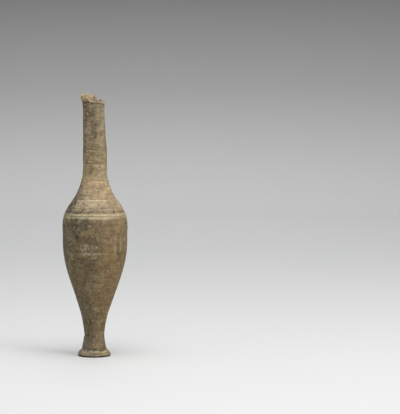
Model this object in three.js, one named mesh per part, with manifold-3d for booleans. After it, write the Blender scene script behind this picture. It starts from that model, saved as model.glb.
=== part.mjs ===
// A spindle-shaped perfume bottle (fusiform unguentarium) of fired clay, thrown on a wheel in one piece.
// It stands on a small disc foot. A pinched stem rises into a long body, widest above its middle, and a round
// shoulder runs up into a tall neck. The rim is broken away: the neck ends in a ragged edge, with a tongue of
// wall left standing at the left and the back, where the neck was starting to flare towards the lost rim.
// Millimetres, +Z up. The base lies on Z = 0, the body's axis is the Z axis and the front faces -Y.
import * as THREE from 'three';
import { mergeVertices } from 'three/addons/utils/BufferGeometryUtils.js';
import Module from 'manifold-3d';

const wasm = await Module();
wasm.setup();
const { smoothstep, lerp, clamp, degToRad, radToDeg } = THREE.MathUtils;

// Heights, each measured from the one before it, so that they add up to the whole height of 221.5 mm.
const footHeight = 5.8;
const stemHeight = 13.5; // from the foot to the waist of the stem
const bellyRise = 85.5; // from the waist to the widest part of the body
const shoulderRise = 49; // from there to the foot of the neck
const neckLength = 53; // up to the throat, where the neck is narrowest
const flareLength = 14.7; // up to the highest point of the broken edge

// Radii of the outside.
const footRadius = 13.9;
const footBevel = 0.9; // the flat underside is smaller than the foot by this much
const stemFootRadius = 10.4;
const waistRadius = 8.7;
const bellyRadius = 27.35;
const neckRadius = 10.2;
const throatRadius = 9.05;
const flareRadius = 10.75;

// The hollow.
const wall = 2.8;
const floorAboveWaist = 8.5; // the stem is solid up to here
const bowlHeight = 12; // height over which the floor of the hollow rounds into its side

// The hand of the potter: foot and stem sit left of the body's axis, and the top of the neck leans left.
const footShift = 0.9;
const stemShift = 1.4;
const neckLean = 1;

// The broken edge. Angles are in degrees, from +X towards +Y, so 270 is the front and 180 the left.
const tongueHeight = 6.7; // of the standing tongue above the low side
const lipTilt = 1; // the low side is this much higher at the back, and lower at the front
const farRise = 0.7; // and its back rises by this much more
const backStart = 37; // from so many degrees past the right, and before the left, the back's rise is in full
const frontFaceTilt = 0.6; // the broken face leans towards the front by this much across the wall
const backFaceTilt = 1.1; // and by this much at the back
const raggedness = 0.3;
const tongueStart = { at: 77, over: 56 };
const tongueEndAtBore = { at: 240, over: 80 };
const tongueEndOutside = { at: 188, over: 34 }; // the break slopes outwards between the two ends

// Chips lost from the right of the break (how deep outside, and at the bore), from the rim of the foot and
// from the stem.
const lipChip = { angle: -4, over: 40, outside: 2.3, bore: -0.6 };
const footChip = { angle: -30, reach: 1.3, slope: 25 };
const stemNick = { angle: 178, radius: 1.3, depth: 0.8, belowWaist: 1.2 };

// Fineness of the mesh.
const sides = 48;
const outerStep = 5;
const innerStep = 7;
const bevelSteps = 4;

const baseRadius = footRadius - footBevel;
const waistZ = footHeight + stemHeight;
const bellyZ = waistZ + bellyRise;
const neckZ = bellyZ + shoulderRise;
const throatZ = neckZ + neckLength;
const topZ = throatZ + flareLength;
const floorZ = waistZ + floorAboveWaist;
const spareAbove = 6; // the uncut neck runs on past the break by this much

// A stretch of the outline between two named places. Each pair is the share of the way up and of the change
// of radius, so the stretch keeps its curve when either end moves.
function stretch(fromZ, fromRadius, toZ, toRadius, shares) {
  return shares.map(([up, across]) => ({
    z: lerp(fromZ, toZ, up),
    r: lerp(fromRadius, toRadius, across),
  }));
}

const outline = [
  { z: footHeight, r: stemFootRadius },
  ...stretch(footHeight, stemFootRadius, waistZ, waistRadius, [[0.5, 0.72], [1, 1]]),
  ...stretch(waistZ, waistRadius, bellyZ, bellyRadius,
    [[0.1, 0.06], [0.2, 0.155], [0.36, 0.397], [0.52, 0.648], [0.68, 0.862], [0.84, 0.98], [1, 1]]),
  ...stretch(bellyZ, bellyRadius, neckZ, neckRadius,
    [[0.15, 0.004], [0.3, 0.082], [0.45, 0.3], [0.6, 0.595], [0.75, 0.806], [0.88, 0.932], [1, 1]]),
  ...stretch(neckZ, neckRadius, throatZ, throatRadius, [[0.36, 0.03], [0.52, 0.45], [0.72, 0.75], [1, 1]]),
  ...stretch(throatZ, throatRadius, topZ, flareRadius, [[0.4, 0.25], [0.66, 0.85], [1, 1]]),
];
const last = outline.length - 1;

// Change of radius per millimetre of height at a point of the outline, taken from its neighbours.
function slopeAt(index) {
  const below = outline[Math.max(index - 1, 0)];
  const above = outline[Math.min(index + 1, last)];
  return (above.r - below.r) / (above.z - below.z);
}

// Outside radius at a height: a cubic between each two points of the outline, straight on past its ends.
function outerRadius(z) {
  const above = outline.findIndex((point) => point.z > z);
  if (above === 0) return outline[0].r;
  if (above < 0) return outline[last].r + slopeAt(last) * (z - outline[last].z);
  const [a, b] = [outline[above - 1], outline[above]];
  const span = b.z - a.z;
  const t = (z - a.z) / span;
  const leave = slopeAt(above - 1) * span;
  const arrive = slopeAt(above) * span;
  return a.r + leave * t
    + (3 * (b.r - a.r) - 2 * leave - arrive) * t ** 2
    + (2 * (a.r - b.r) + leave + arrive) * t ** 3;
}

// Radius of the hollow: the wall's thickness inside the outline, rounded to a bowl above the floor.
function innerRadius(z) {
  const reach = 0.5;
  const slope = (outerRadius(z + reach) - outerRadius(z - reach)) / (2 * reach);
  const short = 1 - clamp((z - floorZ) / bowlHeight, 0, 1);
  return (outerRadius(z) - wall * Math.hypot(1, slope)) * Math.sqrt(1 - short ** 2);
}

// How far the centre of the section at a height lies from the body's axis, along X.
function centreAt(z) {
  const belowBelly = clamp((bellyZ - z) / (bellyZ - footHeight), 0, 1);
  const low = lerp(footShift, stemShift * belowBelly ** 2, smoothstep(z, 0, 2 * footHeight));
  const neck = neckLean * smoothstep(z, lerp(neckZ, throatZ, 0.2), topZ);
  return -(low + neck);
}

// Evenly spaced heights from one to the other, both included.
function levels(from, to, step) {
  const count = Math.ceil(Math.abs(to - from) / step);
  return Array.from({ length: count + 1 }, (_, i) => lerp(from, to, i / count));
}

// Turns a profile of (radius, height) points round the axis, with +Z up.
function turned(profile) {
  const geometry = new THREE.LatheGeometry(profile.map(([r, z]) => new THREE.Vector2(r, z)), sides);
  return geometry.rotateX(Math.PI / 2);
}

// Moves each vertex sideways so that its section is centred where the potter left it.
function leaned(geometry) {
  const at = geometry.attributes.position;
  for (let i = 0; i < at.count; i += 1) at.setX(i, at.getX(i) + centreAt(at.getZ(i)));
  return geometry;
}

function solidOf(geometry) {
  const bare = geometry.clone();
  for (const name of Object.keys(bare.attributes)) if (name !== 'position') bare.deleteAttribute(name);
  const merged = mergeVertices(bare, 1e-4);
  return new wasm.Manifold(new wasm.Mesh({
    numProp: 3,
    vertProperties: merged.attributes.position.array,
    triVerts: new Uint32Array(merged.index.array),
  }));
}

function geometryOf(solid) {
  const { vertProperties, triVerts } = solid.getMesh();
  const geometry = new THREE.BufferGeometry();
  geometry.setAttribute('position', new THREE.BufferAttribute(vertProperties, 3));
  geometry.setIndex(new THREE.BufferAttribute(triVerts, 1));
  geometry.computeVertexNormals();
  return geometry;
}

// The whole hollow bottle, as it was up to just past the break.
function unbrokenBottle() {
  const bevel = new THREE.QuadraticBezierCurve(
    new THREE.Vector2(footRadius, footHeight * 0.26),
    new THREE.Vector2(lerp(footRadius, stemFootRadius, 0.2), footHeight * 0.76),
    new THREE.Vector2(stemFootRadius, footHeight),
  );
  const cutZ = topZ + spareAbove;
  const outside = levels(footHeight, cutZ, outerStep).slice(1).map((z) => [outerRadius(z), z]);
  const inside = levels(cutZ, floorZ + bowlHeight, innerStep).map((z) => [innerRadius(z), z]);
  const bowlHeights = [0.7, 0.45, 0.25, 0.1].map((share) => floorZ + bowlHeight * share);
  const bowl = bowlHeights.map((z) => [innerRadius(z), z]);
  return leaned(turned([
    [0, 0],
    [baseRadius, 0],
    ...bevel.getPoints(bevelSteps).map((point) => [point.x, point.y]),
    ...outside,
    ...inside,
    ...bowl,
    [0, floorZ],
  ]));
}

// 1 on the standing tongue of wall and 0 on the low side, for an angle in degrees. It starts with a round
// shoulder, a quarter of an ellipse, and ends in a slope.
function tongue(angle, end) {
  const toFull = 1 - clamp((angle - tongueStart.at) / tongueStart.over, 0, 1);
  const fall = smoothstep(angle, end.at - end.over / 2, end.at + end.over / 2);
  return Math.sqrt(1 - toFull ** 2) * (1 - fall);
}

// How much is gone from the break at its right: most at the chip's own angle, less to both sides of it.
function lipChipDepth(angle, across) {
  const away = (angle - lipChip.angle + 540) % 360 - 180;
  return lerp(lipChip.bore, lipChip.outside, across) * Math.exp(-((away / lipChip.over) ** 2));
}

// Height of the break above a point of the neck's section, given by its angle and its radius.
function breakHeight(angle, radius) {
  const across = clamp((radius - (throatRadius - wall)) / wall, 0, 1);
  const high = lerp(tongue(angle, tongueEndAtBore), tongue(angle, tongueEndOutside), across);
  const turn = degToRad(angle);
  const behind = smoothstep(Math.sin(turn), 0, Math.sin(degToRad(backStart)));
  const tilt = lipTilt * Math.sin(turn) + farRise * behind;
  const low = topZ - tongueHeight + tilt * (1 - high);
  const lean = lerp(frontFaceTilt, backFaceTilt, behind) * Math.sin(turn) * (across - 1);
  const ragged = raggedness * (2 * Math.sin(5 * turn + 1) + Math.sin(11 * turn + 3 * across)) / 3;
  return low + (tongueHeight - raggedness) * high + lean + ragged - lipChipDepth(angle, across);
}

// Everything above the break: a drum over the neck whose underside follows the broken edge.
function aboveBreak() {
  const boreRadius = throatRadius - wall;
  const drumRadius = flareRadius + 2 * wall;
  const drumTop = topZ + 2 * spareAbove;
  const across = [0.35, 0.7, 1].map((share) => boreRadius + wall * share);
  const geometry = turned([[0, 0], [boreRadius / 2, 0], [boreRadius, 0], ...across.map((r) => [r, 0]),
    [drumRadius, 0], [drumRadius, drumTop], [0, drumTop]]);
  const at = geometry.attributes.position;
  for (let i = 0; i < at.count; i += 1) {
    if (at.getZ(i) > drumTop / 2) continue;
    const radius = Math.hypot(at.getX(i), at.getY(i));
    const angle = (radToDeg(Math.atan2(at.getY(i), at.getX(i))) + 360) % 360;
    const onAxis = topZ - tongueHeight / 2;
    at.setZ(i, radius < boreRadius / 4 ? onAxis : breakHeight(angle, radius));
  }
  return geometry.translate(centreAt(topZ), 0, 0);
}

// The edge of the foot that has gone: a block whose upper face slopes up and outwards through its underside.
function footChipBlock() {
  const size = 2 * footRadius;
  const block = new THREE.BoxGeometry(size, size, size).translate(size / 2, 0, -size / 2);
  block.rotateY(-degToRad(footChip.slope)).translate(baseRadius - footChip.reach, 0, 0);
  return block.rotateZ(degToRad(footChip.angle)).translate(centreAt(0), 0, 0);
}

// The nick in the stem: a small round lump of clay knocked out of its side.
function stemNickBlock() {
  const z = waistZ - stemNick.belowWaist;
  const block = new THREE.IcosahedronGeometry(stemNick.radius, 1);
  block.translate(outerRadius(z) + stemNick.radius - stemNick.depth, 0, z);
  return block.rotateZ(degToRad(stemNick.angle)).translate(centreAt(z), 0, 0);
}

const firedClay = new THREE.MeshStandardMaterial({ color: 0x7d6a50, roughness: 0.9, metalness: 0 });

function bottle() {
  const losses = [aboveBreak(), footChipBlock(), stemNickBlock()].map(solidOf);
  const left = losses.reduce((solid, loss) => solid.subtract(loss), solidOf(unbrokenBottle()));
  const mesh = new THREE.Mesh(geometryOf(left), firedClay);
  mesh.name = 'unguentarium';
  return mesh;
}

const unguentarium = new THREE.Group();
unguentarium.name = 'fusiform_unguentarium';
unguentarium.add(bottle());

export default unguentarium;
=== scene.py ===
# A spindle-shaped perfume bottle of fired clay, thrown on a wheel, its rim broken away.
# Run it in Blender's Text editor or from the command line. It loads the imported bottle, lays a finely
# modelled skin over it, gives that skin its weathered clay, and sets up a small studio round it.
import bpy
import math
import numpy as np
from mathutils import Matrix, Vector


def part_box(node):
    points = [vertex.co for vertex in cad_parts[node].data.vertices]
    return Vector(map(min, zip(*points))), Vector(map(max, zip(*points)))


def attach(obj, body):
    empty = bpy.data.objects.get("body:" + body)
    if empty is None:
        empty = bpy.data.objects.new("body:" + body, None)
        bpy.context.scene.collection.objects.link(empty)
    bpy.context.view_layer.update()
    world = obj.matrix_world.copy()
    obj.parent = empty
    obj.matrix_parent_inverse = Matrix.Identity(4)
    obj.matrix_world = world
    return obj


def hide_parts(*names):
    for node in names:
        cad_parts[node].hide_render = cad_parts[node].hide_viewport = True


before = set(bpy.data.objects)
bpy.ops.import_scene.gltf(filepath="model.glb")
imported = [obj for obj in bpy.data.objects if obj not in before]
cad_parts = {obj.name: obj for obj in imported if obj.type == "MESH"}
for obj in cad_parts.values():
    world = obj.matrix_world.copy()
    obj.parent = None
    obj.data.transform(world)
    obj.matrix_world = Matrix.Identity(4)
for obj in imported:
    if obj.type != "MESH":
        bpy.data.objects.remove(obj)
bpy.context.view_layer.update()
nodeLow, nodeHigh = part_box("unguentarium")
print("loaded the bottle,", round((nodeHigh.z - nodeLow.z) * 1000, 1), "mm tall")

# Lengths of the bottle in millimetres, as it was thrown. Heights are from the table, radii from the middle
# of each round section, and a share runs from one named place (0) to the next (1).
bottle = {
    "footHeight": 5.8,
    "footRadius": 13.9,
    "footBevel": 0.9,
    "bevelRise": 0.26,  # as a share of the foot's height
    "footBulge": (0.2, 0.76),  # the curve's middle corner: share of the way in to the stem, and of the height
    "underHollow": 0.35,
    "stemFootRadius": 10.4,
    "waistHeight": 19.3,
    "waistRadius": 8.7,
    "bellyHeight": 104.8,
    "bellyRadius": 27.35,
    "neckHeight": 153.8,
    "neckRadius": 10.2,
    "throatHeight": 206.8,
    "throatRadius": 9.05,
    "topHeight": 221.5,
    "flareRadius": 10.75,
    "wall": 2.8,
    "floorHeight": 27.8,
    "bowlHeight": 12.0,
    "footShift": 0.9,  # foot and stem sit left of the body's axis
    "stemShift": 1.4,
    "neckLean": 1.0,  # and the neck leans left at the top
}

# The same bottle as the frame, so its drawing is scaled to the frame's own height.
millimetre = (nodeHigh.z - nodeLow.z) / bottle["topHeight"]


def blendStep(value, low, high):  # 0 below low, 1 above high, 3t^2 - 2t^3 between
    t = np.clip((value - low) / (high - low), 0, 1)
    return t * t * (3 - 2 * t)


def mixOf(a, b, share):
    return a + (b - a) * share


def stretchOf(lowPlace, highPlace, shares):  # (share of the rise, share of the change of radius) pairs
    lowHeight, lowRadius = bottle[lowPlace + "Height"], bottle[lowPlace + "Radius"]
    highHeight, highRadius = bottle[highPlace + "Height"], bottle[highPlace + "Radius"]
    return [(mixOf(lowHeight, highHeight, up), mixOf(lowRadius, highRadius, out)) for up, out in shares]


bottle["stemHeight"], bottle["stemRadius"] = bottle["footHeight"], bottle["stemFootRadius"]
bottle["flareHeight"] = bottle["topHeight"]
outline = np.array(
    stretchOf("stem", "waist", [(0, 0), (0.5, 0.72), (1, 1)])
    + stretchOf("waist", "belly", [(0.1, 0.06), (0.2, 0.155), (0.36, 0.397), (0.52, 0.648), (0.68, 0.862),
                                   (0.84, 0.98), (1, 1)])
    + stretchOf("belly", "neck", [(0.15, 0.004), (0.3, 0.082), (0.45, 0.3), (0.6, 0.595), (0.75, 0.806),
                                  (0.88, 0.932), (1, 1)])
    + stretchOf("neck", "throat", [(0.36, 0.03), (0.52, 0.45), (0.72, 0.75), (1, 1)])
    + stretchOf("throat", "flare", [(0.4, 0.25), (0.66, 0.85), (1, 1)])
)
outlineHeight, outlineRadius = outline.T
lastPoint = len(outline) - 1
below = np.maximum(np.arange(lastPoint + 1) - 1, 0)
above = np.minimum(np.arange(lastPoint + 1) + 1, lastPoint)
outlineSlope = (outlineRadius[above] - outlineRadius[below]) / (outlineHeight[above] - outlineHeight[below])


def outerRadius(z):
    # A cubic between each two points of the outline, with the slope at a point taken from its neighbours.
    i = np.clip(np.searchsorted(outlineHeight, z, side="right") - 1, 0, lastPoint - 1)
    span = outlineHeight[i + 1] - outlineHeight[i]
    t = np.clip((z - outlineHeight[i]) / span, 0, 1)
    leave, arrive = outlineSlope[i] * span, outlineSlope[i + 1] * span
    a, b = outlineRadius[i], outlineRadius[i + 1]
    return a + leave * t + (3 * (b - a) - 2 * leave - arrive) * t**2 + (2 * (a - b) + leave + arrive) * t**3


def innerRadius(z):
    # The wall's thickness inside the outline, square to it, rounded to a bowl above the floor.
    reach = 0.5
    slope = (outerRadius(z + reach) - outerRadius(z - reach)) / (2 * reach)
    short = 1 - np.clip((z - bottle["floorHeight"]) / bottle["bowlHeight"], 0, 1)
    return (outerRadius(z) - bottle["wall"] * np.hypot(1, slope)) * np.sqrt(1 - short**2)


def centreAt(z):  # how far left of the body's axis the middle of a section is
    belowBelly = np.clip((bottle["bellyHeight"] - z) / (bottle["bellyHeight"] - bottle["footHeight"]), 0, 1)
    upStem = blendStep(z, 0, 2 * bottle["footHeight"])
    low = mixOf(bottle["footShift"], bottle["stemShift"] * belowBelly**2, upStem)
    leanStart = mixOf(bottle["neckHeight"], bottle["throatHeight"], 0.2)
    return -(low + bottle["neckLean"] * blendStep(z, leanStart, bottle["topHeight"]))


# The broken edge. Angles are in degrees from +X towards +Y, so 270 is the front and 180 the left.
fracture = {
    "tongueHeight": 6.7,
    "lipTilt": 1.0,
    "farRise": 0.7,  # the low side stands this much higher behind
    "farFrom": (0, 0.6),  # and comes to that between these sines of the angle
    "faceTilt": (0.6, 1.1),  # the broken face leans to the front by this across the wall, before and behind
    "raggedness": 0.3,
    "tongueStart": (77, 56),  # where it rises, and over how many degrees
    "tongueEndAtBore": (240, 80),
    "tongueEndOutside": (188, 34),
    "hollowness": 0.4,  # the break is scooped by this much between its two edges
    "hollowSwing": 0.4,  # and by this share more or less on the way round
    "grit": (2.2, 0.2),  # length and size of its grains
    "tongueFall": (105, 190, 1.4),  # the tongue sinks from one angle to the other by so much
    "rightChip": {"angle": -4, "over": 40, "outside": 2.3, "bore": -0.6},  # gone at the low side's right
}


def tongueAt(angle, end):  # 1 on the standing tongue of wall, which starts with a round shoulder, 0 elsewhere
    startAt, startOver = fracture["tongueStart"]
    endAt, endOver = end
    toFull = 1 - np.clip((angle - startAt) / startOver, 0, 1)
    return np.sqrt(1 - toFull**2) * (1 - blendStep(angle, endAt - endOver / 2, endAt + endOver / 2))


def breakHeight(turn, across):
    # The low side's height, plus the tongue's, which ends further round at the bore (across 0) than outside
    # (across 1), plus the face's own lean, plus two waves for the ragged edge, less what is chipped away.
    angle = np.degrees(turn) % 360
    atBore, outside = (tongueAt(angle, fracture[end]) for end in ("tongueEndAtBore", "tongueEndOutside"))
    high = mixOf(atBore, outside, across)
    behind = blendStep(np.sin(turn), *fracture["farFrom"])
    tilt = fracture["lipTilt"] * np.sin(turn) + fracture["farRise"] * behind
    low = bottle["topHeight"] - fracture["tongueHeight"] + tilt * (1 - high)
    lean = mixOf(*fracture["faceTilt"], behind) * np.sin(turn) * (across - 1)
    ragged = fracture["raggedness"] * (2 * np.sin(5 * turn + 1) + np.sin(11 * turn + 3 * across)) / 3
    fallFrom, fallTo, drop = fracture["tongueFall"]
    fall = drop * high * blendStep(angle, fallFrom, fallTo)
    chip = fracture["rightChip"]
    fromChip = (angle - chip["angle"] + 180) % 360 - 180
    gone = mixOf(chip["bore"], chip["outside"], across) * np.exp(-((fromChip / chip["over"]) ** 2))
    return low + (fracture["tongueHeight"] - fracture["raggedness"]) * high + lean + ragged - fall - gone


def wavesAt(points, length, seed, count=26):
    # Smooth noise of about unit size: the sum of sines along random directions, each about `length` long.
    rng = np.random.default_rng(seed)
    heading = rng.normal(size=(count, 3))
    lengths = length * rng.uniform(0.7, 1.5, count)
    heading *= (2 * np.pi / lengths / np.linalg.norm(heading, axis=1))[:, None]
    start = rng.uniform(0, 2 * np.pi, count)
    total = np.zeros(points.shape[:-1])
    for direction, phase in zip(heading, start):
        total += np.sin(points @ direction + phase)
    return total / math.sqrt(count / 2)


def roughAt(points, length, seed, octaves=3):  # the same noise at halved lengths and sizes, added up
    return sum(wavesAt(points, length / 2**k, seed + k) / 2**k for k in range(octaves))


# The skin is one closed grid: rings run from the middle of the underside, up the outside, over the break
# and down the inside to the middle of the bowl, and columns run round.
grid = {
    "columns": 224,
    "footRings": 19,
    "wallRings": 300,
    "joinHeight": 204.0,  # rings lie level up to here, then bend up to the broken edge
    "edgeRings": 16,
    "edgeCrowding": 0.8,  # below 1, they lie closer together towards the break
    "breakRings": 9,
    "innerRings": 34,
    "bowlRings": 9,
    "topGap": 0.05,  # the skin stays this far under the solid's top
}
turn = np.arange(grid["columns"]) * 2 * np.pi / grid["columns"]
level = np.ones(grid["columns"])
breakStep = np.pi / (grid["breakRings"] + 1)
breakAcross = 0.5 + 0.5 * np.cos(breakStep * np.arange(1, grid["breakRings"] + 1))  # near 1 outside to near 0


def ringsOf(radii, heights):  # level rings, one for each radius and height
    return np.outer(radii, level), np.outer(heights, level)


def makeRings():
    baseRadius = bottle["footRadius"] - bottle["footBevel"]
    bevelHeight = bottle["footHeight"] * bottle["bevelRise"]
    underShares = np.array([0.1, 0.25, 0.4, 0.55, 0.7, 0.8, 0.88, 0.94, 1])
    underside = ringsOf(baseRadius * underShares, bottle["underHollow"] * (1 - underShares**4))

    bevelShares = np.array([0.25, 0.5, 0.75])
    bevel = ringsOf(
        baseRadius + bottle["footBevel"] * np.sin(bevelShares * np.pi / 2),
        bevelHeight * (1 - np.cos(bevelShares * np.pi / 2)),
    )
    t = np.linspace(0, 1, grid["footRings"])[:, None]  # a curve from the foot's widest place in to the stem
    bulgeIn, bulgeUp = bottle["footBulge"]
    corners = np.array([
        (bottle["footRadius"], bevelHeight),
        (mixOf(bottle["footRadius"], bottle["stemFootRadius"], bulgeIn), bottle["footHeight"] * bulgeUp),
        (bottle["stemFootRadius"], bottle["footHeight"]),
    ])
    footCurve = (1 - t) ** 2 * corners[0] + 2 * t * (1 - t) * corners[1] + t**2 * corners[2]
    foot = ringsOf(*footCurve.T)

    wallHeights = np.linspace(bottle["footHeight"], grid["joinHeight"], grid["wallRings"])[1:]
    wall = ringsOf(outerRadius(wallHeights), wallHeights)

    outsideTop, boreTop = breakHeight(turn, 1.0), breakHeight(turn, 0.0)
    toEdge = np.linspace(0, 1, grid["edgeRings"] + 1)[1:, None] ** grid["edgeCrowding"]
    edgeHeights = mixOf(grid["joinHeight"], outsideTop, toEdge)
    edge = outerRadius(edgeHeights), edgeHeights

    across = breakAcross[:, None]
    breakRadii = mixOf(innerRadius(boreTop), outerRadius(outsideTop), across)
    swing = fracture["hollowSwing"]
    scoop = fracture["hollowness"] * np.sin(np.pi * across) * (1 - swing + swing * np.sin(3 * turn + 2))
    breakFace = breakRadii, breakHeight(turn, across) - scoop

    fromEdge = 1 - np.linspace(0, 1, grid["edgeRings"] // 2 + 1)[:, None]
    innerEdgeHeights = mixOf(grid["joinHeight"], boreTop, fromEdge)
    innerEdge = innerRadius(innerEdgeHeights), innerEdgeHeights

    bowlTop = bottle["floorHeight"] + bottle["bowlHeight"]
    innerHeights = np.linspace(grid["joinHeight"], bowlTop, grid["innerRings"])[1:]
    inner = ringsOf(innerRadius(innerHeights), innerHeights)
    sink = np.linspace(0, np.pi / 2, grid["bowlRings"] + 2)[1:-1]
    bowlHeights = bowlTop - bottle["bowlHeight"] * np.sin(sink)
    bowl = ringsOf(innerRadius(bowlHeights), bowlHeights)

    named = [("underside", underside), ("foot", bevel), ("foot", foot), ("wall", wall), ("wall", edge),
             ("break", breakFace), ("inside", innerEdge), ("inside", inner), ("inside", bowl)]
    radius = np.vstack([r for _, (r, _) in named])
    height = np.vstack([z for _, (_, z) in named])
    part = np.concatenate([[name] * len(r) for name, (r, _) in named])
    return radius, height, part


def outwardOf(points):  # the surface's own direction out of the clay, from its two directions on the grid
    around = np.roll(points, -1, axis=1) - np.roll(points, 1, axis=1)
    along = np.gradient(points, axis=0)
    normal = np.cross(around, along)
    return normal / np.maximum(np.linalg.norm(normal, axis=2, keepdims=True), 1e-9)


# What the potter's hands, the wheel and the years did to the surface, in millimetres and degrees.
handwork = {
    "rills": [(2.3, 3, 0.030), (3.4, -2, 0.040), (5.6, 1, 0.045)],  # spacing, turns of drift, depth
    "insideRills": [(6.5, 1, 0.16), (4.1, 2, 0.08)],
    "rillStrength": {"body": 0.45, "neck": 0.9, "stem": 0.1},  # the last two are added to the first
    "neckFrom": (108, 150),  # heights between which that of the neck comes in
    "stemTo": (18, 60),  # and that of the stem goes out
    "rillWander": (26, 0.35),  # length and size of waves
    "grooveWander": (22, 0.25),
    "unevenness": (34, 0.10),
    "footWaves": (9, 0.05),
    "wallGrain": (2.6, 0.022),
    "footGrain": (2.4, 0.02),
    "insideGrain": (3, 0.02),
    "grooves": [  # height, width, depth
        (5.9, 0.5, 0.25), (116.4, 0.7, 0.10), (122.4, 0.8, 0.16), (125.7, 0.7, 0.10), (132.7, 0.6, 0.10),
        (162.4, 0.7, 0.12), (173.6, 0.5, 0.06), (212.4, 0.7, 0.16),
    ],
    "string": (0.08, 5),  # depth of the marks of the string that cut the foot from the wheel, and their pitch
    "proudest": 0.03,  # no place stands out past the drawn outline by more
    "pits": 190,
    "pitSizes": (0.35, 1.1),
    "pitHeights": (8, 210),
    "pitTall": (0.6, 1.3),  # as shares of a pit's size
    "pitDepth": (0.08, 0.24),
    "darkest": 0.38,  # a mark so deep or deeper is the darkest
    "footShadeAndDirt": 0.38,  # the foot's lowest edge is as dark as a mark so deep: painted shade where it meets the table, with dirt
    "footShadeAndDirtTo": (1.0, 1.8),  # the heights between which that goes out
    "underShadeAndDirt": (9.8, 13.2),  # and the radii under the foot between which it comes in
    "flakeDirt": (0.17, 0.14),  # the same for the edges of its flakes, as painted shade, and how far it reaches from them
    "nick": {"angle": 178, "height": 18.1, "width": 2.9, "tall": 0.75, "depth": 1.0, "slant": 0},
    "nickCrack": {"angle": 211, "height": 18.1, "width": 2.8, "tall": 0.5, "depth": 0.4, "slant": 0},
    "crackTail": {"angle": 233, "height": 17.7, "width": 1.5, "tall": 0.5, "depth": 0.45, "slant": 0},
    "gouge": {"angle": 252, "height": 30.0, "width": 0.5, "tall": 3.2, "depth": 0.5, "slant": 0.38},
}


def dent(radius, height, spot):  # a rounded hollow: depth times exp(-(distance in widths)^2)
    away = (turn - math.radians(spot["angle"]) + np.pi) % (2 * np.pi) - np.pi
    sideways = (away * radius + spot["slant"] * (height - spot["height"])) / spot["width"]
    upwards = (height - spot["height"]) / spot["tall"]
    return spot["depth"] * np.exp(-(sideways**2) - upwards**2)


def rillsAt(height, rills):
    # Sines up the wall. Each drifts by whole turns on the way round, as a wheel's marks do, and so meets
    # itself.
    return sum(depth * np.sin(2 * np.pi * height / spacing + drift * turn) for spacing, drift, depth in rills)


def wallRelief(points, radius, height):  # how far the wall stands out, and how deep the marks in it are
    neck = blendStep(height, *handwork["neckFrom"])
    stem = 1 - blendStep(height, *handwork["stemTo"])
    strengths = handwork["rillStrength"]
    strength = strengths["body"] + strengths["neck"] * neck + strengths["stem"] * stem
    length, size = handwork["rillWander"]
    relief = rillsAt(height + size * wavesAt(points, length, 11), handwork["rills"]) * strength
    length, size = handwork["unevenness"]
    relief += size * (wavesAt(points, length, 12) - 0.4)
    length, size = handwork["wallGrain"]
    relief += size * roughAt(points, length, 13)
    marks = np.zeros(radius.shape)
    length, size = handwork["grooveWander"]
    wander = size * wavesAt(points, length, 14)
    for grooveHeight, width, depth in handwork["grooves"]:
        marks += depth * np.exp(-(((height + wander - grooveHeight) / width) ** 2))
    rng = np.random.default_rng(15)
    for _ in range(handwork["pits"]):
        size = rng.uniform(*handwork["pitSizes"])
        marks += dent(radius, height, {
            "angle": rng.uniform(0, 360),
            "height": rng.uniform(*handwork["pitHeights"]),
            "width": size,
            "tall": size * rng.uniform(*handwork["pitTall"]),
            "depth": size * rng.uniform(*handwork["pitDepth"]),
            "slant": 0,
        })
    for name in ("nick", "nickCrack", "crackTail", "gouge"):
        marks += dent(radius, height, handwork[name])
    return np.minimum(relief - marks, handwork["proudest"]), marks


# Flat places where a flake has gone from the rim of the foot: the direction it faces, in degrees round and
# in degrees below the level, and how far in from the foot's widest place its plane lies, in millimetres.
footFlakes = [
    {"faces": -30, "below": 65, "radius": 11.7, "height": 0.0},
    {"faces": -62, "below": -28, "radius": 13.25, "height": 3.4},
    {"faces": -30, "below": -38, "radius": 13.0, "height": 3.6},
    {"faces": -108, "below": -20, "radius": 13.55, "height": 3.2},
    {"faces": 150, "below": 20, "radius": 13.6, "height": 1.0},
    {"faces": 64, "below": -30, "radius": 13.2, "height": 3.5},
]


def shaveFlakes(points, where):  # what stands out past a flake's plane is laid back onto it
    edges = np.zeros(points[where].shape[:-1])
    for flake in footFlakes:
        faces, dip = math.radians(flake["faces"]), math.radians(flake["below"])
        facing = np.array([math.cos(faces) * math.cos(dip), math.sin(faces) * math.cos(dip), -math.sin(dip)])
        middle = np.array([
            centreAt(0.0) + flake["radius"] * math.cos(faces),
            flake["radius"] * math.sin(faces),
            flake["height"],
        ])
        past = (points[where] - middle) @ facing
        points[where] = points[where] - np.maximum(past, 0)[..., None] * facing
        edges = np.maximum(edges, np.exp(-((past / handwork["flakeDirt"][1]) ** 2)))
    return points, edges


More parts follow.
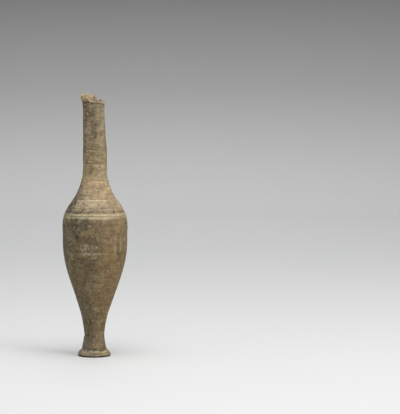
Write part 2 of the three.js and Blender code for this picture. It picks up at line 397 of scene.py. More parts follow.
def makePoints():
    radius, height, part = makeRings()
    points = np.stack([
        centreAt(height) + radius * np.cos(turn),
        radius * np.sin(turn),
        height,
    ], axis=2)
    outward = outwardOf(points)
    relief, marks = np.zeros(radius.shape), np.zeros(radius.shape)
    foot, wall, broken, inside = (part == name for name in ("foot", "wall", "break", "inside"))
    relief[wall], marks[wall] = wallRelief(points[wall], radius[wall], height[wall])
    waveLength, waveSize = handwork["footWaves"]
    grainLength, grainSize = handwork["footGrain"]
    footGrain = grainSize * roughAt(points[foot], grainLength, 22)
    relief[foot] = waveSize * (wavesAt(points[foot], waveLength, 21) - 1) + footGrain
    # The foot's lowest edge is made dark: painted shade where the foot meets the table, with dirt.
    marks[foot] = handwork["footShadeAndDirt"] * (1 - blendStep(height[foot], *handwork["footShadeAndDirtTo"]))
    gritLength, gritSize = fracture["grit"]
    relief[broken] = gritSize * (roughAt(points[broken], gritLength, 23) - 0.6)
    grainLength, grainSize = handwork["insideGrain"]
    insideGrain = grainSize * roughAt(points[inside], grainLength, 24)
    relief[inside] = rillsAt(height[inside], handwork["insideRills"]) + insideGrain
    points += relief[..., None] * outward
    points, edges = shaveFlakes(points, foot)
    # Painted shade along the edges of the flakes.
    marks[foot] = np.maximum(marks[foot], handwork["flakeDirt"][0] * edges)
    underside = part == "underside"
    # Under the foot the same painted shade and dirt come in towards the rim.
    marks[underside] = handwork["footShadeAndDirt"] * blendStep(radius[underside], *handwork["underShadeAndDirt"])
    stringDepth, stringPitch = handwork["string"]
    spiral = stringDepth * np.sin(radius[underside] * stringPitch + turn)
    points[underside, :, 2] += np.maximum(spiral * (1 - (radius[underside] / bottle["footRadius"]) ** 4), 0)
    points, _ = shaveFlakes(points, underside)
    points[..., 2] = np.clip(points[..., 2], 0, bottle["topHeight"] - grid["topGap"])
    return points, part, marks


# Stains and deposits on the outside, each an oval in degrees round and millimetres up the wall:
# angle, height, half width in millimetres, half height, strength.
stains = {
    "sootAndShade": [
        (192, 216.6, 1.3, 1.0, 2.2), (264, 213.4, 0.8, 0.5, 1.5), (273, 213.3, 0.8, 0.5, 1.5),
        (262, 203.3, 6, 8, 0.55), (272, 190.8, 2.2, 12, 0.6), (196, 190.8, 3, 24, 0.35),
        (272, 189.5, 1.3, 1.2, 1.0), (256, 158.8, 2.4, 5, 0.5), (200, 138, 3, 8, 0.5),
        (228, 137, 3, 5, 0.2), (235, 127.8, 6, 3, 0.45), (196, 127.8, 5, 5, 0.7),
        (211, 127.3, 6, 5, 1.0), (219, 125.5, 4, 5, 0.35), (243, 122.8, 11, 1.6, 0.8),
        (258, 113.3, 7, 3, 0.8), (234, 111.8, 7, 6, 0.9), (237, 106.8, 4, 4, 1.2),
        (257, 100.3, 4, 2.2, 0.6), (242, 99.8, 4.5, 3, 1.1), (267, 98.8, 6, 5, 0.6),
        (317, 90.8, 1.8, 5, 0.45), (205, 90.8, 8, 16, 0.35), (262, 90.3, 9, 5, 0.4),
        (253, 80.8, 7, 6, 0.5), (268, 78.8, 5, 6, 0.7), (262, 71.8, 5, 3, 0.4), (236, 51, 4, 7, 0.35),
        (245, 4.9, 4, 0.5, 0.4), (300, 4.7, 1.6, 0.5, 0.9), (277, 3.2, 6, 0.6, 0.6),
        (298, 2.9, 1.3, 0.6, 0.9),
        # Behind.
        (45, 195.8, 3, 9, 0.4), (110, 176.8, 4, 14, 0.6), (150, 124.8, 9, 4, 0.7),
        (92, 118.8, 8, 5, 0.8), (30, 112.8, 7, 5, 0.4), (120, 100.8, 12, 9, 0.7),
        (60, 86.8, 9, 12, 0.5), (150, 70.8, 8, 9, 0.5),
    ],
    "lime": [
        (297, 202.3, 2.4, 0.5, 0.8), (322, 197, 2.4, 4, 0.6), (239, 188.8, 2.4, 16, 0.6),
        (205, 148, 3, 9, 0.2), (283, 128.8, 7, 3.4, 0.8), (263, 128.3, 8, 4, 0.8),
        (237, 128, 4, 3, 0.8), (309, 125.3, 7, 4, 0.6), (258, 124.8, 1, 1, 1.0),
        (243, 111.3, 3, 4, 0.5), (350, 100.8, 7, 8, 0.4), (232, 99.8, 2.6, 1.4, 0.9),
        (270, 93.3, 4, 2.4, 1.1), (252, 92.8, 3.2, 3, 1.5), (265, 87.3, 11, 2.2, 0.8),
        (229, 86.8, 3, 1.6, 1.1), (284, 66.8, 4, 5, 0.4), (180, 60.8, 6, 10, 0.4),
        (262, 58.8, 5, 6, 0.4), (279, 40.8, 2.4, 4, 0.6), (297, 30.8, 3, 3, 0.5),
        (242, 29.7, 0.7, 1.0, 1.0), (308, 12.5, 4, 5, 0.5), (280, 4.7, 5, 0.5, 1.6),
        (222, 4.7, 2.4, 0.5, 0.5), (322, 4.3, 2.2, 0.5, 1.6), (305, 3.7, 1.6, 0.6, 1.8),
        (318, 2.2, 3, 0.5, 1.2), (277, 1.8, 5, 0.6, 0.9),
        # Behind.
        (40, 140.8, 6, 6, 0.5), (100, 128.8, 9, 4, 0.7), (130, 96.8, 10, 4, 0.7),
        (70, 60.8, 7, 9, 0.5),
    ],
    "rust": [
        (312, 171, 3, 4, 0.7), (322, 135.8, 4, 5, 0.4), (326, 126.3, 6, 5, 0.4),
        (225, 118.8, 3, 2, 0.3), (309, 111.8, 7, 4, 0.5), (306, 96.8, 3, 3, 0.6),
        (319, 64.8, 1.2, 1.2, 0.9), (289, 61.8, 1.6, 2, 0.9), (226, 3.0, 3.4, 1.3, 0.8),
        # Behind.
        (160, 140.8, 6, 7, 0.5), (80, 104.8, 7, 6, 0.5), (15, 74.8, 6, 8, 0.5), (120, 40.8, 4, 6, 0.4),
    ],
}
# The same on the broken face, where a share of the way across it (0 at the bore, 1 outside) stands for the
# height.
breakStains = {
    "sootAndShade": [
        # The ovals near 176 and 188 degrees are painted shade at the face's left corner, and those near 230
        # and 247 painted shade on its low outer part.
        (247, 0.8, 2.0, 0.35, 1.1), (230, 0.97, 4.0, 0.25, 1.4), (188, 0.92, 1.2, 0.35, 1.6),
        (176, 0.85, 1.0, 0.3, 0.6), (322, 0.95, 1.0, 0.2, 1.2), (304, 0.0, 1.2, 0.3, 1.4),
        (68, 0.0, 4, 0.15, 0.6), (228, 0.6, 1.6, 0.25, 0.6), (85, 0.3, 2.5, 0.3, 0.5),
    ],
    "rust": [(233, 0.35, 2.2, 0.4, 0.8), (120, 0.6, 3, 0.5, 0.6)],
    "lime": [(118, 0.9, 8, 0.5, 1.0), (256, 0.6, 2.0, 0.5, 0.6)],
}
boreShadeSpots = [(40, 214.6, 2.4, 1.3, 2.0), (74, 214.3, 5, 0.7, 0.5)]  # painted shade inside the neck, just below the break, where the bore lies in shadow
stainSeeds = {"sootAndShade": 31, "lime": 43, "rust": 57}
boreShadeSeed = 71
stainEdge = {  # the edge wanders by a share of the oval's smaller half, and by so many millimetres at most
    "length": 6, "wander": 0.4, "mostWander": 2.2,
    "from": 0.35, "to": 1.45,  # and the stain fades out between these shares of the way to the edge
}
brownSide = -20  # the angle of the brownest side, also painted lighter as the lit side, while the far side is painted darker as shade
maskNames = ("sootAndShade", "lime", "rust", "drip", "marks", "fresh", "inside", "east")
dripMark = {"angle": 318.0, "height": 96.3, "halfWidth": 3.3, "halfHeight": 10.5, "line": 0.55,
            "top": 0.55}  # its strength at the top, as a share of that at the foot


def stainAt(points, radius, height, ovals, seed):  # the strongest of the ovals, with wandering edges
    wanderUp = roughAt(points, stainEdge["length"], seed, 4)
    wanderSide = roughAt(points, stainEdge["length"], seed + 5, 4)
    strongest = np.zeros(radius.shape)
    for angle, middle, halfWidth, halfHeight, strength in ovals:
        away = (turn - math.radians(angle) + np.pi) % (2 * np.pi) - np.pi
        wander = min(stainEdge["mostWander"], stainEdge["wander"] * min(halfWidth, halfHeight))
        distance = np.hypot((away * radius + wander * wanderSide) / halfWidth,
                            (height + wander * wanderUp - middle) / halfHeight)
        cover = 1 - blendStep(distance, stainEdge["from"], stainEdge["to"])
        strongest = np.maximum(strongest, strength * cover)
    return strongest


def dripAt(radius, height):  # the outline of a dried drip: a thin oval ring, stronger towards its foot
    away = (turn - math.radians(dripMark["angle"]) + np.pi) % (2 * np.pi) - np.pi
    across = away * radius / dripMark["halfWidth"]
    up = (height - dripMark["height"]) / dripMark["halfHeight"]
    distance = np.abs(np.hypot(np.abs(across), np.abs(up) ** 1.5) - 1) * dripMark["halfWidth"]
    strength = mixOf(dripMark["top"], 1, blendStep(-up, -0.6, 0.8))
    return strength * np.exp(-((distance / dripMark["line"]) ** 2))


def makeSkin():
    points, part, marks = makePoints()
    rings, columns = points.shape[:2]
    firstPole = np.array([[centreAt(0.0), 0, bottle["underHollow"]]])
    lastPole = np.array([[centreAt(bottle["floorHeight"]), 0, bottle["floorHeight"]]])
    everyPoint = np.vstack([points.reshape(-1, 3), firstPole, lastPole]) * millimetre
    ring, column = np.meshgrid(np.arange(rings - 1), np.arange(columns), indexing="ij")
    here, beside = ring * columns + column, ring * columns + (column + 1) % columns
    quads = np.stack([here, beside, beside + columns, here + columns], axis=2).reshape(-1, 4)
    column = np.arange(columns)
    beside = (column + 1) % columns
    start = np.stack([np.full(columns, rings * columns), beside, column], axis=1)
    lastRing = (rings - 1) * columns
    end = np.stack([lastRing + column, lastRing + beside, np.full(columns, rings * columns + 1)], axis=1)
    mesh = bpy.data.meshes.new("bottleSkin")
    mesh.from_pydata(everyPoint, [], quads.tolist() + start.tolist() + end.tolist())
    mesh.polygons.foreach_set("use_smooth", np.ones(len(mesh.polygons), bool))

    height = points[..., 2]
    radius = np.hypot(points[..., 0] - centreAt(height), points[..., 1])
    outside, broken = (part == "wall") | (part == "foot"), part == "break"
    masks = {name: np.zeros(radius.shape) for name in maskNames}
    across = np.outer(breakAcross, level)
    for name, seed in stainSeeds.items():
        masks[name][outside] = stainAt(points[outside], radius[outside], height[outside], stains[name], seed)
        masks[name][broken] = stainAt(points[broken], radius[broken], across, breakStains[name], seed)
    bore = part == "inside"
    # Inside the neck this mask holds painted shade.
    masks["sootAndShade"][bore] = stainAt(points[bore], radius[bore], height[bore], boreShadeSpots, boreShadeSeed)
    masks["drip"][outside] = dripAt(radius[outside], height[outside])
    masks["marks"] = np.clip(marks / handwork["darkest"], 0, 1)
    masks["fresh"][broken] = 1
    masks["fresh"][np.flatnonzero(part == "wall")[-1]] = 0.5  # the wall's last ring is half worn
    masks["inside"][bore] = 1
    masks["east"][:] = 0.5 + 0.5 * np.cos(turn - math.radians(brownSide))  # 1 there and 0 on the other side
    for name, values in masks.items():
        attribute = mesh.attributes.new(name, "FLOAT", "POINT")
        atPoles = [0, values[-1].mean()]
        attribute.data.foreach_set("value", np.append(values.ravel(), atPoles).astype(np.float32))
    mesh.update()
    skin = bpy.data.objects.new("bottle_skin", mesh)
    bpy.context.scene.collection.objects.link(skin)
    print("made the skin,", 2 * len(quads) + 2 * columns, "triangles")
    return skin


# Small helpers for colours and shader nodes. Each of those for nodes gives back its output.
def toLinear(screen):  # a colour as a screen shows it, 0 to 255, in the linear values that shaders take
    share = np.array(screen) / 255
    linear = np.where(share <= 0.04045, share / 12.92, ((share + 0.055) / 1.055) ** 2.4)
    return (*linear.tolist(), 1.0)


def addNode(tree, kind, inputs=(), **settings):
    node = tree.nodes.new(kind)
    for name, value in settings.items():
        setattr(node, name, value)
    for name, value in dict(inputs).items():
        if isinstance(value, bpy.types.NodeSocket):
            tree.links.new(value, node.inputs[name])
        else:
            node.inputs[name].default_value = value
    return node


def mathOf(tree, operation, a, b=0.0):
    return addNode(tree, "ShaderNodeMath", {0: a, 1: b}, operation=operation).outputs[0]


def times(tree, *values):
    product = values[0]
    for value in values[1:]:
        product = mathOf(tree, "MULTIPLY", product, value)
    return product


def rangeOf(tree, value, low, high, start=0.0, end=1.0):  # value from low..high to start..end, eased
    inputs = {"Value": value, "From Min": low, "From Max": high, "To Min": start, "To Max": end}
    return addNode(tree, "ShaderNodeMapRange", inputs, interpolation_type="SMOOTHSTEP").outputs[0]


def noiseOf(tree, place, size, detail=3.0, roughness=0.55, distortion=0.0):  # size of a blot in millimetres
    inputs = {"Vector": place, "Scale": 1000 / size, "Detail": detail, "Roughness": roughness,
              "Distortion": distortion}
    return addNode(tree, "ShaderNodeTexNoise", inputs).outputs[0]


def stretchedPlace(tree, place, stretch):
    return addNode(tree, "ShaderNodeVectorMath", {0: place, 1: stretch}, operation="MULTIPLY").outputs[0]


def layOver(tree, under, over, amount, blend="MIX"):  # one colour over another, as thick as amount
    node = addNode(tree, "ShaderNodeMix", data_type="RGBA", blend_type=blend)
    for socket, value in ((node.inputs[0], amount), (node.inputs[6], under), (node.inputs[7], over)):
        if isinstance(value, bpy.types.NodeSocket):
            tree.links.new(value, socket)
        else:
            socket.default_value = value
    return node.outputs[2]


def shadeBy(tree, colour, amount):  # darker or lighter: each channel times amount
    channels = {"Red": amount, "Green": amount, "Blue": amount}
    asColour = addNode(tree, "ShaderNodeCombineColor", channels).outputs[0]
    return layOver(tree, colour, asColour, 1.0, "MULTIPLY")


def maskOf(tree, name):
    return addNode(tree, "ShaderNodeAttribute", attribute_name=name).outputs["Fac"]


def lineOf(tree, height, middle, halfWidth, soft):  # 1 on a level line round the bottle
    away = mathOf(tree, "ABSOLUTE", mathOf(tree, "SUBTRACT", height, middle))
    return rangeOf(tree, away, halfWidth + soft, max(halfWidth - soft, 0.0))


def linesOf(tree, height, angle, lines):  # the strongest of some level lines, each fading at both its ends
    strongest = 0.0
    for middle, halfWidth, soft, strength, centre, reach in lines:
        facing = mathOf(tree, "COSINE", mathOf(tree, "SUBTRACT", angle, math.radians(centre)))
        side = rangeOf(tree, facing, math.cos(math.radians(reach)), math.cos(math.radians(reach * 0.55)))
        line = times(tree, lineOf(tree, height, middle, halfWidth, soft), side, strength)
        strongest = mathOf(tree, "MAXIMUM", strongest, line)
    return strongest


# The clay and what lies on it. Colours are as a screen shows them, sizes in millimetres.
clay = {
    "tones": [  # the clay's colour up the bottle: height, colour
        (0, (152, 136, 111)), (5.2, (152, 136, 111)), (6.2, (112, 99, 77)), (24, (105, 90, 66)),
        (62, (115, 98, 67)), (92, (118, 101, 72)), (112, (122, 105, 77)), (123, (168, 151, 122)),
        (134, (169, 148, 117)), (150, (171, 147, 112)), (160, (160, 138, 104)), (172, (139, 120, 91)),
        (212, (131, 115, 91)),
    ],
    # The west colours are partly painted shade and the east colours partly painted light: greyer and darker
    # on the left, browner and lighter on the right.
    "west": (89, 88, 73),
    "stemWest": (112, 113, 97),
    "east": (146, 117, 77),
    "neckEast": (174, 157, 124),
    "olive": (107, 108, 67),
    "mauve": (136, 108, 94),
    "dust": (172, 154, 123),
    "paleSpeck": (177, 163, 134),
    "darkSpeck": (66, 56, 42),
    # The darkest colour, for deep marks and for painted shade: at the foot's lowest edge, the flakes' edges
    # and inside the neck below the break.
    "shadeAndDirt": (26, 21, 14),
    "sootAndShade": (61, 53, 44),
    "lime": (196, 184, 156),
    "rust": (168, 126, 98),
    "paint": (206, 189, 152),
    "fresh": (188, 163, 121),
    "freshPale": (179, 162, 134),
    "freshGrey": (152, 141, 121),
    "freshDark": (84, 60, 38),
    "inside": (162, 144, 119),
}
# What remains of thin white bands, and dark lines, by them and elsewhere: height, half width, edge softness,
# strength, then the angle at which a line is strongest and how far to each side of that it reaches.
paintedLines = [
    (117.6, 1.0, 0.4, 0.8, 257, 58), (117.6, 0.8, 0.4, 0.3, 325, 30), (117.5, 0.95, 0.4, 0.28, 90, 179),
    (120.2, 0.9, 0.4, 0.66, 257, 60), (120.0, 1.0, 0.5, 0.45, 326, 30), (120.2, 0.8, 0.4, 0.28, 90, 179),
    (132.0, 0.45, 0.3, 0.8, 281, 36), (132.0, 0.4, 0.3, 0.4, 236, 40), (132.0, 0.4, 0.3, 0.25, 60, 100),
    (161.5, 0.5, 0.4, 0.3, 240, 60), (173.0, 0.4, 0.3, 0.4, 265, 42), (173.0, 0.4, 0.3, 0.2, 80, 90),
    (212.2, 0.35, 0.3, 0.4, 228, 32), (88.1, 0.3, 0.3, 0.42, 274, 30),
]
# Of the dark lines, the one at 5.75 mm is painted shade in the crease where the stem meets the foot, and the
# one at 213.4 mm painted shadow under the overhang of the broken face.
darkLines = [
    (116.1, 0.3, 0.3, 0.4, 225, 50), (118.9, 0.25, 0.3, 0.2, 250, 50), (122.4, 0.5, 0.4, 0.55, 236, 62),
    (122.4, 0.4, 0.4, 0.25, 60, 120), (125.7, 0.35, 0.3, 0.5, 286, 40), (162.8, 0.8, 0.6, 0.4, 254, 40),
    (173.9, 0.35, 0.3, 0.5, 270, 22), (5.75, 0.35, 0.3, 1.0, 272, 75), (7.0, 0.9, 0.8, 0.28, 270, 85),
    (213.4, 0.5, 0.3, 0.8, 226, 44),
]


# Noise laid over the clay: size of a blot in millimetres, detail, roughness, distortion, and how many times
# wider than tall its blots are.
patterns = {
    "clouds": (26, 2, 0.55, 0.0, 1),
    "wander": (14, 3, 0.55, 0.0, 1),
    "patches": (11, 3, 0.6, 0.0, 1),
    "hue": (10, 4, 0.6, 0.0, 1),
    "blots": (6, 5, 0.62, 0.4, 1),
    "grain": (2.3, 6, 0.68, 0.0, 1),
    "speckle": (1.25, 4, 0.7, 0.0, 1),
    "wheel": (15, 5, 0.64, 0.0, 9),
    "dashes": (4.6, 4, 0.62, 0.0, 4.2),
    "paintWear": (4, 6, 0.7, 0.0, 2),
    "darkWear": (5, 5, 0.55, 0.0, 1),
    "sootGrain": (3.6, 7, 0.74, 0.0, 1.2),
    "rustGrain": (4.5, 5, 0.65, 0.0, 1),
    "flecks": (2.4, 6, 0.74, 0.0, 1.5),
    "breakGrit": (0.7, 4, 0.6, 0.0, 1),
}
# What changes up the bottle: between which two heights, and from which amount to which.
upTheBottle = {
    "toneWander": (4, 20, 0.5, 9.0),  # how far the tones stray up and down, in millimetres
    "lineWander": (6, 16, 0.5, 1.4),  # and the painted lines
    "westOfBody": (12, 22, 0.0, 1.0),
    "neckward": (148, 164, 0.0, 1.0),
    "eastOfNeck": (105, 165, 0.0, 1.0),
    "hueSwing": (80, 125, 0.2, 0.3),
    "blotSwing": (90, 165, 0.24, 0.17),
    "dashSwing": (90, 165, 0.14, 0.34),
    "speckled": (90, 165, 0.46, 0.36),
}
# How a value turns into cover: the values at which the cover starts and stops changing, and its amount at
# each where that isn't 0 and 1.
covers = {
    "west": (0.55, 0.0),
    "westUpNeck": (0.0, 1.0, 0.48, 0.0),
    "east": (0.55, 1.05, 0.0, 0.44),
    "olive": (0.5, 0.64),
    "mauve": (0.48, 0.36),
    "cleaner": (0.68, 0.94, 1.0, 0.5),  # the right side is cleaner, and so are some other places
    "patchy": (0.4, 0.6, 0.35, 1.35),
    "rougher": (0.6, 0.25, 1.0, 1.4),  # and the left side is the roughest
    "paleBlots": (0.45, 0.65),
    "darkBlots": (0.5, 0.3),
    "paint": (0.3, 0.56, 0.3, 1.0),
    "darkLine": (0.32, 0.6, 0.1, 1.0),
    "sootAndShade": (0.3, 0.58, 0.2, 1.0),
    "rust": (0.5, 0.95, 0.0, 0.6),
    "lime": (0.46, 0.66, 0.08, 0.62),
    "drip": (0.3, 0.6),
    "shadeAndDirt": (0.7, 1.0, 0.0, 0.9),
    "freshPale": (0.5, 0.66, 0.0, 0.7),
    "freshGrey": (0.36, 0.66, 0.0, 0.9),
    "freshGrain": (0.3, 0.7, 0.78, 1.14),
    "freshDirtAndShade": (0.56, 0.74, 0.0, 0.5),
    "freshEdge": (0.32, 0.62),
    "insideWheel": (0.3, 0.7, 0.75, 1.25),
    "roughness": (0.0, 0.5, 0.64, 0.9),
}
amounts = {
    "wheelSwing": 0.15,
    "grainSwing": 0.13,
    "grainShade": 0.14,
    "cloudPull": 0.8,  # how far the clouds shift the grey left and the brown right
    "sootAndShade": 0.92,
    "rustSpread": 0.6,
    "drip": 0.52,
    "marks": 0.75,
    "breakRust": 0.7,
    "breakSootAndShade": 0.9,
    "breakRagged": 0.9,
    "paintedBoreShade": 0.85,
}
specks = {  # size of a cell, how flat it is, how often blots and stains bring a speck, and how thick it lies
    "pale": {"cell": 2.2, "flat": 1.7, "blots": 0.17, "stain": 0.6, "cover": 0.8},
    "dark": {"cell": 2.5, "flat": 1.6, "blots": 0.18, "stain": 0.35, "cover": 0.72},
}
speckStir = (0.0018, 0.0018, 0.0012)  # metres by which they are pushed out of round
bumps = {"grain": 0.10, "wheel": 0.10, "dashes": 0.09, "speckle": 0.05, "darkSpecks": -0.07,
         "paleSpecks": 0.04, "lime": 0.08, "breakGrit": 0.35}  # how far each stands up, beside the others
bumpSettings = {"Strength": 0.8, "Distance": 0.0011}


def patternOf(tree, place, name):
    size, detail, roughness, distortion, flat = patterns[name]
    at = stretchedPlace(tree, place, (1, 1, flat)) if flat != 1 else place
    return noiseOf(tree, at, size, detail, roughness, distortion)


def coverOf(tree, value, name):
    return rangeOf(tree, value, *covers[name])


def layClay(tree, under, name, amount):  # one of the named colours over what is there, as thick as amount
    return layOver(tree, under, toLinear(clay[name]), amount)


def specksOf(tree, place, kind, blots, stain):
    # Round specks, one to a cell, in a share of the cells that blots and stains raise.
    flat = stretchedPlace(tree, place, (1, 1, kind["flat"]))
    cells = addNode(tree, "ShaderNodeTexVoronoi", {"Vector": flat, "Scale": 1000 / kind["cell"]})
    chance = addNode(tree, "ShaderNodeSeparateColor", {0: cells.outputs["Color"]}).outputs[0]
    often = mathOf(tree, "ADD", times(tree, stain, kind["stain"]), times(tree, blots, kind["blots"]))
    chosen = mathOf(tree, "GREATER_THAN", mathOf(tree, "ADD", chance, often), 1.0)
    return times(tree, chosen, rangeOf(tree, cells.outputs["Distance"], 0.5, 0.24))


def toneRamp(tree, share, tones, top):  # the colour at a share of the height, from (height, colour) pairs
    ramp = addNode(tree, "ShaderNodeValToRGB", {0: share})
    stops = ramp.color_ramp.elements
    for i, (at, colour) in enumerate(tones):
        stop = stops[i] if i < 2 else stops.new(at / top)  # a new ramp has two stops
        stop.position = at / top
        stop.color = toLinear(colour)
    return ramp.outputs[0]


def makeClay():
    material = bpy.data.materials.new("wornClay")
    material.use_nodes = True
    tree = material.node_tree
    tree.nodes.clear()
    place = addNode(tree, "ShaderNodeTexCoord").outputs["Object"]
    alongX, alongY, alongZ = addNode(tree, "ShaderNodeSeparateXYZ", {0: place}).outputs
    height = times(tree, alongZ, 1000.0)
    angle = mathOf(tree, "ARCTAN2", alongY, alongX)
    sootAndShade, lime, rust, drip, marks, fresh, inside, east = (maskOf(tree, name) for name in maskNames)
    noise = {name: patternOf(tree, place, name) for name in patterns}
    change = {name: rangeOf(tree, height, *ends) for name, ends in upTheBottle.items()}

    # The bare clay: tones up the bottle, greyer and darker on the left, browner and lighter on the right,
    # partly the clay's own and partly painted shade and light, mottled and streaked.
    wander = mathOf(tree, "SUBTRACT", noise["wander"], 0.5)
    toneHeight = mathOf(tree, "ADD", height, times(tree, wander, change["toneWander"]))
    toneShare = mathOf(tree, "DIVIDE", toneHeight, bottle["topHeight"])
    colour = toneRamp(tree, toneShare, clay["tones"], bottle["topHeight"])
    clouded = times(tree, mathOf(tree, "SUBTRACT", noise["clouds"], 0.5), amounts["cloudPull"])
    side = mathOf(tree, "ADD", east, clouded)
    westAmount = times(tree, coverOf(tree, side, "west"), coverOf(tree, change["neckward"], "westUpNeck"))
    westColour = layClay(tree, toLinear(clay["stemWest"]), "west", change["westOfBody"])
    colour = layOver(tree, colour, westColour, westAmount)
    eastColour = layClay(tree, toLinear(clay["east"]), "neckEast", change["eastOfNeck"])
    colour = layOver(tree, colour, eastColour, coverOf(tree, side, "east"))
    for name in ("olive", "mauve"):
        hue = times(tree, coverOf(tree, noise["hue"], name), change["hueSwing"])
        colour = layClay(tree, colour, name, hue)
    swings = {"wheel": amounts["wheelSwing"], "blots": change["blotSwing"], "grain": amounts["grainSwing"],
              "dashes": change["dashSwing"]}
    for name, swing in swings.items():
        low, high = mathOf(tree, "SUBTRACT", 1.0, swing), mathOf(tree, "ADD", 1.0, swing)
        colour = shadeBy(tree, colour, rangeOf(tree, noise[name], 0.3, 0.7, low, high))

    # A crust of dark and pale dust, thicker on the left.
    cleaner = coverOf(tree, east, "cleaner")
    crust = times(tree, coverOf(tree, noise["patches"], "patchy"), cleaner, coverOf(tree, east, "rougher"))
    shades = {"grain": amounts["grainShade"], "speckle": change["speckled"]}
    for name, shade in shades.items():
        darkening = times(tree, rangeOf(tree, noise[name], 0.5, 0.3, 0.0, shade), crust)
        colour = shadeBy(tree, colour, mathOf(tree, "SUBTRACT", 1.0, darkening))
        dusting = times(tree, rangeOf(tree, noise[name], 0.5, 0.7, 0.0, shade), crust)
        colour = layClay(tree, colour, "dust", dusting)

    # Specks, most of them where a stain is.
    stirNoise = {"Vector": place, "Scale": 700, "Detail": 2}
    stirred = addNode(tree, "ShaderNodeTexNoise", stirNoise).outputs["Color"]
    stir = addNode(tree, "ShaderNodeVectorMath", {0: stirred, 1: speckStir, 2: place},
                   operation="MULTIPLY_ADD").outputs[0]
    paleBlots, darkBlots = (times(tree, coverOf(tree, noise["blots"], name), cleaner)
                            for name in ("paleBlots", "darkBlots"))
    paleSpecks = specksOf(tree, stir, specks["pale"], paleBlots, lime)
    darkSpecks = specksOf(tree, stir, specks["dark"], darkBlots, sootAndShade)
    colour = layClay(tree, colour, "darkSpeck", times(tree, darkSpecks, specks["dark"]["cover"]))

    # What is left of the painted lines, then the stains, the drip and the marks.
    lineHeight = mathOf(tree, "ADD", height, times(tree, wander, change["lineWander"]))
    paint = linesOf(tree, lineHeight, angle, paintedLines)
    colour = layClay(tree, colour, "paint", times(tree, paint, coverOf(tree, noise["paintWear"], "paint")))
    # Dark lines, two of them painted shade: in the foot's crease and under the broken face.
    dark = linesOf(tree, lineHeight, angle, darkLines)
    colour = layClay(tree, colour, "sootAndShade", times(tree, dark, coverOf(tree, noise["darkWear"], "darkLine")))
    sootAmount = times(tree, sootAndShade, coverOf(tree, noise["sootGrain"], "sootAndShade"), amounts["sootAndShade"])
    colour = layClay(tree, colour, "sootAndShade", sootAmount)
    spread = amounts["rustSpread"]
    rustEdge = mathOf(tree, "ADD", times(tree, rust, spread), times(tree, noise["rustGrain"], spread))
    colour = layClay(tree, colour, "rust", coverOf(tree, rustEdge, "rust"))
    limeAmount = times(tree, lime, coverOf(tree, noise["flecks"], "lime"))
    colour = layClay(tree, colour, "lime", limeAmount)
    colour = layClay(tree, colour, "paleSpeck", times(tree, paleSpecks, specks["pale"]["cover"]))
    dripAmount = times(tree, drip, amounts["drip"], coverOf(tree, noise["blots"], "drip"))
    colour = layClay(tree, colour, "lime", dripAmount)
    # Marks darken the deeper they are; at the foot's lowest edge, under it and along the flakes' edges this
    # is painted shade.
    colour = layClay(tree, colour, "darkSpeck", times(tree, marks, amounts["marks"]))
    colour = layClay(tree, colour, "shadeAndDirt", coverOf(tree, marks, "shadeAndDirt"))

    # The broken face, and the inside.
    paler = mathOf(tree, "MAXIMUM", coverOf(tree, noise["blots"], "freshPale"), lime)
    freshColour = layClay(tree, toLinear(clay["fresh"]), "freshPale", paler)
    freshColour = layClay(tree, freshColour, "freshGrey", coverOf(tree, east, "freshGrey"))
    freshColour = shadeBy(tree, freshColour, coverOf(tree, noise["grain"], "freshGrain"))
    freshColour = layClay(tree, freshColour, "rust", times(tree, rust, amounts["breakRust"]))
    # Soot on the broken face, with the painted shade from its ovals.
    freshSootAndShade = times(tree, sootAndShade, amounts["breakSootAndShade"])
    freshDirtAndShade = mathOf(tree, "MAXIMUM", coverOf(tree, noise["grain"], "freshDirtAndShade"), freshSootAndShade)
    freshColour = layClay(tree, freshColour, "freshDark", freshDirtAndShade)
    edgeGrain = times(tree, mathOf(tree, "SUBTRACT", noise["grain"], 0.5), amounts["breakRagged"])
    freshEdge = coverOf(tree, mathOf(tree, "ADD", fresh, edgeGrain), "freshEdge")
    colour = layOver(tree, colour, freshColour, freshEdge)
    insideShade = coverOf(tree, noise["wheel"], "insideWheel")
    insideColour = shadeBy(tree, toLinear(clay["inside"]), insideShade)
    # Painted shade inside the neck, below the break.
    insideColour = layClay(tree, insideColour, "shadeAndDirt", times(tree, sootAndShade, amounts["paintedBoreShade"]))
    colour = layOver(tree, colour, insideColour, inside)

    reliefs = {**noise, "darkSpecks": darkSpecks, "paleSpecks": paleSpecks, "lime": limeAmount,
               "breakGrit": times(tree, noise["breakGrit"], fresh)}
    bumpHeight = 0.0
    for name, depth in bumps.items():
        bumpHeight = mathOf(tree, "ADD", bumpHeight, times(tree, reliefs[name], depth))
    bump = addNode(tree, "ShaderNodeBump", {"Height": bumpHeight, **bumpSettings})
    dullness = mathOf(tree, "ADD", times(tree, noise["grain"], 0.5), times(tree, sootAmount, -0.35))
    shader = addNode(tree, "ShaderNodeBsdfPrincipled", {
        "Base Color": colour,
        "Roughness": coverOf(tree, dullness, "roughness"),
        "Normal": bump.outputs[0],
        "Specular IOR Level": 0.32,
    })
    addNode(tree, "ShaderNodeOutputMaterial", {"Surface": shader.outputs[0]})
    return material


skin = makeSkin()
skin.data.materials.append(makeClay())
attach(skin, "root")
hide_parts("unguentarium")
print("gave the skin its clay")

# The studio: a pale floor that sweeps up all round into a grey wall, with painted shade that darkens it
# upwards. Lengths in metres.
studio = {
    "floorRadius": 2.0,
    "sweepRadius": 0.7,
    "wallHeight": 1.6,
    "floorRings": 21,
    "arcRings": 25,
    "columns": 96,
    "tones": [  # share of the wall's height, colour: painted shade, darker upwards
        (0.0, (217, 217, 215)), (0.05, (205, 205, 203)), (0.16, (170, 170, 168)), (0.3, (131, 131, 130)),
        (1.0, (110, 110, 109)),
    ],
    "air": (0.9, 0.95, 1.0, 1.0),  # the light that comes from all round, and its strength
    "airStrength": 0.35,
}


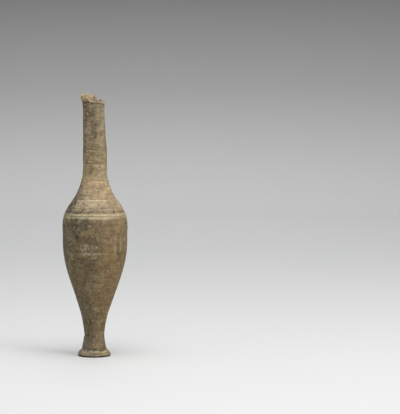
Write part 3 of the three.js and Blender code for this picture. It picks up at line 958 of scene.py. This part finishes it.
def makeSweep():
    # A profile turned about Z: flat floor, a quarter circle, then a wall.
    arc = np.linspace(0, np.pi / 2, studio["arcRings"])
    floorRadii = np.linspace(0, studio["floorRadius"], studio["floorRings"])[1:]
    radii = np.concatenate([floorRadii, studio["floorRadius"] + studio["sweepRadius"] * np.sin(arc[1:]),
                            [studio["floorRadius"] + studio["sweepRadius"]]])
    upArc = studio["sweepRadius"] * (1 - np.cos(arc[1:]))
    heights = np.concatenate([np.zeros(len(floorRadii)), upArc, [studio["wallHeight"]]])
    columns = studio["columns"]
    around = np.arange(columns) * 2 * np.pi / columns
    points = np.stack([np.outer(radii, np.cos(around)), np.outer(radii, np.sin(around)),
                       np.outer(heights, np.ones(columns))], axis=2).reshape(-1, 3)
    ring, column = np.meshgrid(np.arange(len(radii) - 1), np.arange(columns), indexing="ij")
    here, beside = ring * columns + column, ring * columns + (column + 1) % columns
    quads = np.stack([here, here + columns, beside + columns, beside], axis=2).reshape(-1, 4)
    column = np.arange(columns)
    centre = np.stack([column, (column + 1) % columns, np.full(columns, len(points))], axis=1)
    mesh = bpy.data.meshes.new("sweep")
    mesh.from_pydata(np.vstack([points, [[0, 0, 0]]]), [], quads.tolist() + centre.tolist())
    mesh.polygons.foreach_set("use_smooth", np.ones(len(mesh.polygons), bool))
    sweep = bpy.data.objects.new("sweep", mesh)
    bpy.context.scene.collection.objects.link(sweep)
    material = bpy.data.materials.new("paperSweep")
    material.use_nodes = True
    tree = material.node_tree
    tree.nodes.clear()
    place = addNode(tree, "ShaderNodeTexCoord").outputs["Object"]
    height = addNode(tree, "ShaderNodeSeparateXYZ", {0: place}).outputs["Z"]
    wallShare = mathOf(tree, "DIVIDE", height, studio["wallHeight"])
    colour = toneRamp(tree, wallShare, studio["tones"], 1.0)
    shader = addNode(tree, "ShaderNodeBsdfPrincipled",
                     {"Base Color": colour, "Roughness": 1.0, "Specular IOR Level": 0.0})
    addNode(tree, "ShaderNodeOutputMaterial", {"Surface": shader.outputs[0]})
    sweep.data.materials.append(material)
    return sweep


# Soft lights, each a square panel: where it hangs, what it points at, its side in metres, its watts.
lamps = {
    "topPanel": {"at": (0.1, -0.1, 1.7), "aim": (0, 0, 0), "side": 1.5, "watts": 15},
    "frontPanel": {"at": (0.1, -0.6, 1.2), "aim": (0, -0.1, 0), "side": 1.0, "watts": 7},
    "rightPanel": {"at": (1.2, -0.9, 0.9), "aim": (0, 0, 0.1), "side": 0.8, "watts": 8.5},
    "leftPanel": {"at": (-1.2, -0.7, 0.7), "aim": (0, 0, 0.1), "side": 1.0, "watts": 1},
    "backPanel": {"at": (0.0, 2.0, 1.6), "aim": (0, 2.3, 0), "side": 1.2, "watts": 11.5},
}


def hangLamp(name, lamp):
    data = bpy.data.lights.new(name, "AREA")
    data.shape = "SQUARE"
    data.size = lamp["side"]
    data.energy = lamp["watts"]
    light = bpy.data.objects.new(name, data)
    light.location = lamp["at"]
    away = np.array(lamp["at"]) - np.array(lamp["aim"])
    light.rotation_euler = (math.atan2(math.hypot(away[0], away[1]), away[2]), 0,
                            math.atan2(away[1], away[0]) + math.pi / 2)
    bpy.context.scene.collection.objects.link(light)


makeSweep()
for lampName, lamp in lamps.items():
    hangLamp(lampName, lamp)
world = bpy.data.worlds.new("studioAir")
world.use_nodes = True
air = world.node_tree.nodes["Background"]
air.inputs["Color"].default_value = studio["air"]
air.inputs["Strength"].default_value = studio["airStrength"]
bpy.context.scene.world = world
bpy.context.scene.view_settings.view_transform = "Standard"
print("lit the studio")

# The camera stands 1.49 m away, a little below the bottle's top and to its right, and looks slightly down.
view = {"aside": 0.0883, "back": 1.487, "height": 0.2088, "down": 3.2, "lens": 154.0, "sensor": 36.0}
cameraData = bpy.data.cameras.new("camera")
cameraData.lens = view["lens"]
cameraData.sensor_width = view["sensor"]
camera = bpy.data.objects.new("camera", cameraData)
camera.location = (view["aside"], -view["back"], view["height"])
camera.rotation_euler = (math.radians(90 - view["down"]), 0, 0)
bpy.context.scene.collection.objects.link(camera)
bpy.context.scene.camera = camera
